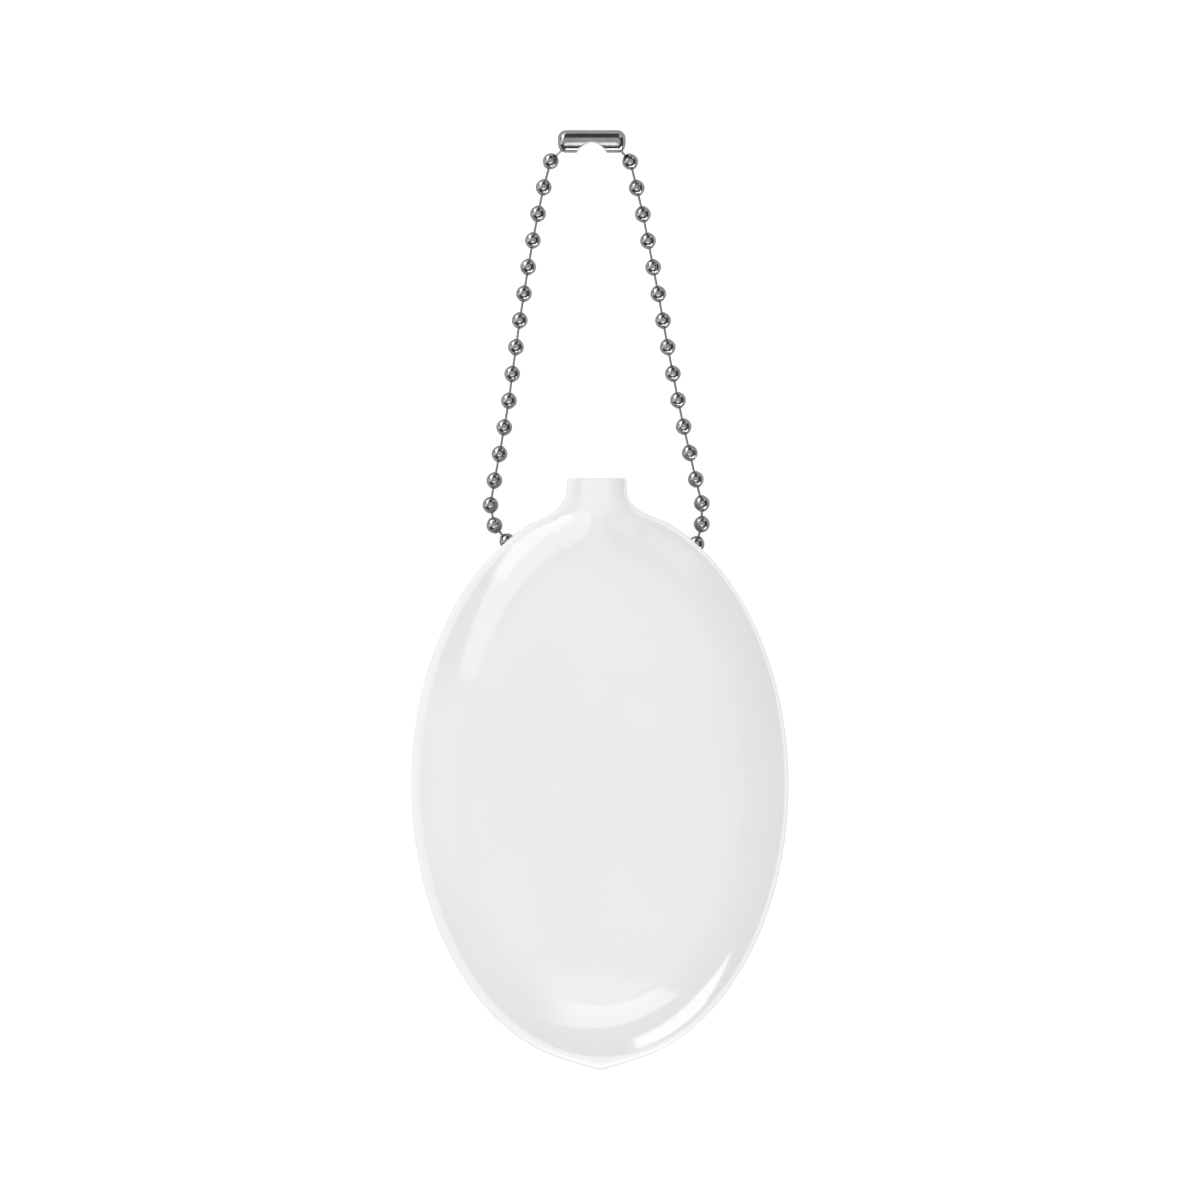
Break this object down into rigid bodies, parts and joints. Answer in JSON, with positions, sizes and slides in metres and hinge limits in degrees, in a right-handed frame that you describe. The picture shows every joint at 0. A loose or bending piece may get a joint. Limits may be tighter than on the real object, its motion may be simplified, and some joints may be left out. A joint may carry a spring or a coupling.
{
  "type": "squeeze coin purse",
  "caption": "Oval moulded vinyl coin purse with a slit back that opens when its ends are squeezed, a short neck at the top, and a loop of ball chain with a tube clasp.",
  "frame": {"origin": "middle of the slit, in the plane of the flat back that the purse lies on", "axes": "+Z out of the front face, +Y along the purse towards its neck and the chain loop, +X to the right of the front seen face on"},
  "size_m": [0.0566, 0.1412, 0.0125],
  "materials": {
    "vinyl": "glossy white slush-moulded vinyl, slightly soft, with faint waviness",
    "bead_metal": "bright nickel plate on rolled steel beads and wires, with faint wear",
    "clasp_metal": "bright nickel plate on rolled sheet"
  },
  "bodies": {
    "purse": {"front_shell": "vinyl", "inner_bead_01": "bead_metal", "inner_bead_02": "bead_metal", "inner_bead_03": "bead_metal", "inner_bead_04": "bead_metal", "inner_bead_05": "bead_metal", "inner_bead_06": "bead_metal", "inner_bead_07": "bead_metal", "inner_bead_08": "bead_metal", "inner_bead_09": "bead_metal", "inner_bead_10": "bead_metal"},
    "left_lip": {"left_lip": "vinyl"},
    "right_lip": {"right_lip": "vinyl"},
    "left_bead_01": {"left_bead_01": "bead_metal"},
    "left_bead_02": {"left_bead_02": "bead_metal"},
    "left_bead_03": {"left_bead_03": "bead_metal"},
    "left_bead_04": {"left_bead_04": "bead_metal"},
    "left_bead_05": {"left_bead_05": "bead_metal"},
    "left_bead_06": {"left_bead_06": "bead_metal"},
    "left_bead_07": {"left_bead_07": "bead_metal"},
    "left_bead_08": {"left_bead_08": "bead_metal"},
    "left_bead_09": {"left_bead_09": "bead_metal"},
    "left_bead_10": {"left_bead_10": "bead_metal"},
    "left_bead_11": {"left_bead_11": "bead_metal"},
    "left_bead_12": {"left_bead_12": "bead_metal"},
    "left_bead_13": {"left_bead_13": "bead_metal"},
    "left_bead_14": {"left_bead_14": "bead_metal"},
    "left_bead_15": {"left_bead_15": "bead_metal"},
    "left_bead_16": {"left_bead_16": "bead_metal"},
    "right_bead_01": {"right_bead_01": "bead_metal"},
    "right_bead_02": {"right_bead_02": "bead_metal"},
    "right_bead_03": {"right_bead_03": "bead_metal"},
    "right_bead_04": {"right_bead_04": "bead_metal"},
    "right_bead_05": {"right_bead_05": "bead_metal"},
    "right_bead_06": {"right_bead_06": "bead_metal"},
    "right_bead_07": {"right_bead_07": "bead_metal"},
    "right_bead_08": {"right_bead_08": "bead_metal"},
    "right_bead_09": {"right_bead_09": "bead_metal"},
    "right_bead_10": {"right_bead_10": "bead_metal"},
    "right_bead_11": {"right_bead_11": "bead_metal"},
    "right_bead_12": {"right_bead_12": "bead_metal"},
    "right_bead_13": {"right_bead_13": "bead_metal"},
    "right_bead_14": {"right_bead_14": "bead_metal"},
    "right_bead_15": {"right_bead_15": "bead_metal"},
    "right_bead_16": {"right_bead_16": "bead_metal"},
    "clasp": {"clasp": "clasp_metal", "left_clasp_bead": "bead_metal", "right_clasp_bead": "bead_metal"}
  },
  "joints": [
    {"name": "left_lip_flex", "type": "hinge", "parent": "purse", "child": "left_lip", "pos_m": [-0.0203, -0.0005, 0.00109], "axis": [0, 1, 0], "range_deg": [0, 35], "stiffness_Nm_per_rad": 0.02},
    {"name": "right_lip_flex", "type": "hinge", "parent": "purse", "child": "right_lip", "pos_m": [0.0203, -0.0005, 0.00109], "axis": [0, -1, 0], "range_deg": [0, 35], "stiffness_Nm_per_rad": 0.02},
    {"name": "left_bead_01_lift", "type": "hinge", "parent": "purse", "child": "left_bead_01", "pos_m": [-0.01367, 0.03508, 0.0018], "axis": [0.752, 0.6592, 0], "range_deg": [-30, 30]},
    {"name": "left_bead_02_turn", "type": "hinge", "parent": "left_bead_01", "child": "left_bead_02", "pos_m": [-0.01554, 0.03733, 0.0012], "axis": [0, 0, 1], "range_deg": [0, 30]},
    {"name": "left_bead_03_lift", "type": "hinge", "parent": "left_bead_02", "child": "left_bead_03", "pos_m": [-0.01663, 0.04015, 0.0012], "axis": [-0.9816, -0.1908, 0], "range_deg": [-30, 30]},
    {"name": "left_bead_04_turn", "type": "hinge", "parent": "left_bead_03", "child": "left_bead_04", "pos_m": [-0.01643, 0.04384, 0.0012], "axis": [0, 0, 1], "range_deg": [0, 30]},
    {"name": "left_bead_05_lift", "type": "hinge", "parent": "left_bead_04", "child": "left_bead_05", "pos_m": [-0.0157, 0.04783, 0.0012], "axis": [0.9816, -0.1908, 0], "range_deg": [-30, 30]},
    {"name": "left_bead_06_turn", "type": "hinge", "parent": "left_bead_05", "child": "left_bead_06", "pos_m": [-0.01497, 0.05182, 0.0012], "axis": [0, 0, 1], "range_deg": [0, 30]},
    {"name": "left_bead_07_lift", "type": "hinge", "parent": "left_bead_06", "child": "left_bead_07", "pos_m": [-0.01427, 0.05582, 0.0012], "axis": [-0.9848, 0.1736, 0], "range_deg": [-30, 30]},
    {"name": "left_bead_08_turn", "type": "hinge", "parent": "left_bead_07", "child": "left_bead_08", "pos_m": [-0.01371, 0.05984, 0.0012], "axis": [0, 0, 1], "range_deg": [0, 30]},
    {"name": "left_bead_09_lift", "type": "hinge", "parent": "left_bead_08", "child": "left_bead_09", "pos_m": [-0.01317, 0.06386, 0.0012], "axis": [0.9903, -0.1392, 0], "range_deg": [-30, 30]},
    {"name": "left_bead_10_turn", "type": "hinge", "parent": "left_bead_09", "child": "left_bead_10", "pos_m": [-0.0126, 0.06788, 0.0012], "axis": [0, 0, 1], "range_deg": [0, 30]},
    {"name": "left_bead_11_lift", "type": "hinge", "parent": "left_bead_10", "child": "left_bead_11", "pos_m": [-0.01199, 0.0719, 0.0012], "axis": [-0.9877, 0.1565, 0], "range_deg": [-30, 30]},
    {"name": "left_bead_12_turn", "type": "hinge", "parent": "left_bead_11", "child": "left_bead_12", "pos_m": [-0.01135, 0.07591, 0.0012], "axis": [0, 0, 1], "range_deg": [0, 30]},
    {"name": "left_bead_13_lift", "type": "hinge", "parent": "left_bead_12", "child": "left_bead_13", "pos_m": [-0.01067, 0.07991, 0.0012], "axis": [0.9848, -0.1736, 0], "range_deg": [-30, 30]},
    {"name": "left_bead_14_turn", "type": "hinge", "parent": "left_bead_13", "child": "left_bead_14", "pos_m": [-0.00991, 0.0839, 0.0012], "axis": [0, 0, 1], "range_deg": [0, 30]},
    {"name": "left_bead_15_lift", "type": "hinge", "parent": "left_bead_14", "child": "left_bead_15", "pos_m": [-0.00909, 0.08787, 0.0012], "axis": [-0.9781, 0.2079, 0], "range_deg": [-30, 30]},
    {"name": "left_bead_16_turn", "type": "hinge", "parent": "left_bead_15", "child": "left_bead_16", "pos_m": [-0.00809, 0.09181, 0.0012], "axis": [0, 0, 1], "range_deg": [0, 30]},
    {"name": "clasp_lift", "type": "hinge", "parent": "left_bead_16", "child": "clasp", "pos_m": [-0.00572, 0.09498, 0.00164], "axis": [0.7071, -0.7071, 0], "range_deg": [-12, 25]},
    {"name": "right_bead_01_lift", "type": "hinge", "parent": "purse", "child": "right_bead_01", "pos_m": [0.01346, 0.0347, 0.00181], "axis": [-0.7412, 0.6713, 0], "range_deg": [-30, 30]},
    {"name": "right_bead_02_turn", "type": "hinge", "parent": "right_bead_01", "child": "right_bead_02", "pos_m": [0.01461, 0.03731, 0.0012], "axis": [0, 0, -1], "range_deg": [0, 30]},
    {"name": "right_bead_03_lift", "type": "hinge", "parent": "right_bead_02", "child": "right_bead_03", "pos_m": [0.0149, 0.04037, 0.0012], "axis": [1, 0, 0], "range_deg": [-30, 30]},
    {"name": "right_bead_04_turn", "type": "hinge", "parent": "right_bead_03", "child": "right_bead_04", "pos_m": [0.01427, 0.04403, 0.0012], "axis": [0, 0, -1], "range_deg": [0, 30]},
    {"name": "right_bead_05_lift", "type": "hinge", "parent": "right_bead_04", "child": "right_bead_05", "pos_m": [0.01334, 0.04798, 0.0012], "axis": [-0.9744, -0.225, 0], "range_deg": [-30, 30]},
    {"name": "right_bead_06_turn", "type": "hinge", "parent": "right_bead_05", "child": "right_bead_06", "pos_m": [0.01242, 0.05194, 0.0012], "axis": [0, 0, -1], "range_deg": [0, 30]},
    {"name": "right_bead_07_lift", "type": "hinge", "parent": "right_bead_06", "child": "right_bead_07", "pos_m": [0.01156, 0.05591, 0.0012], "axis": [0.9781, 0.2079, 0], "range_deg": [-30, 30]},
    {"name": "right_bead_08_turn", "type": "hinge", "parent": "right_bead_07", "child": "right_bead_08", "pos_m": [0.01077, 0.05989, 0.0012], "axis": [0, 0, -1], "range_deg": [0, 30]},
    {"name": "right_bead_09_lift", "type": "hinge", "parent": "right_bead_08", "child": "right_bead_09", "pos_m": [0.00999, 0.06387, 0.0012], "axis": [-0.9816, -0.1908, 0], "range_deg": [-30, 30]},
    {"name": "right_bead_10_turn", "type": "hinge", "parent": "right_bead_09", "child": "right_bead_10", "pos_m": [0.00927, 0.06787, 0.0012], "axis": [0, 0, -1], "range_deg": [0, 30]},
    {"name": "right_bead_11_lift", "type": "hinge", "parent": "right_bead_10", "child": "right_bead_11", "pos_m": [0.00856, 0.07187, 0.0012], "axis": [0.9848, 0.1737, 0], "range_deg": [-30, 30]},
    {"name": "right_bead_12_turn", "type": "hinge", "parent": "right_bead_11", "child": "right_bead_12", "pos_m": [0.00781, 0.07586, 0.0012], "axis": [0, 0, -1], "range_deg": [0, 30]},
    {"name": "right_bead_13_lift", "type": "hinge", "parent": "right_bead_12", "child": "right_bead_13", "pos_m": [0.00703, 0.07984, 0.0012], "axis": [-0.9816, -0.1908, 0], "range_deg": [-30, 30]},
    {"name": "right_bead_14_turn", "type": "hinge", "parent": "right_bead_13", "child": "right_bead_14", "pos_m": [0.00626, 0.08383, 0.0012], "axis": [0, 0, -1], "range_deg": [0, 30]},
    {"name": "right_bead_15_lift", "type": "hinge", "parent": "right_bead_14", "child": "right_bead_15", "pos_m": [0.00538, 0.08779, 0.0012], "axis": [0.9744, 0.2249, 0], "range_deg": [-30, 30]},
    {"name": "right_bead_16_turn", "type": "hinge", "parent": "right_bead_15", "child": "right_bead_16", "pos_m": [0.00442, 0.09173, 0.0012], "axis": [0, 0, -1], "range_deg": [0, 30]}
  ],
  "couplings": [
    {"joint": "right_lip_flex", "follows": "left_lip_flex", "ratio": 1}
  ]
}
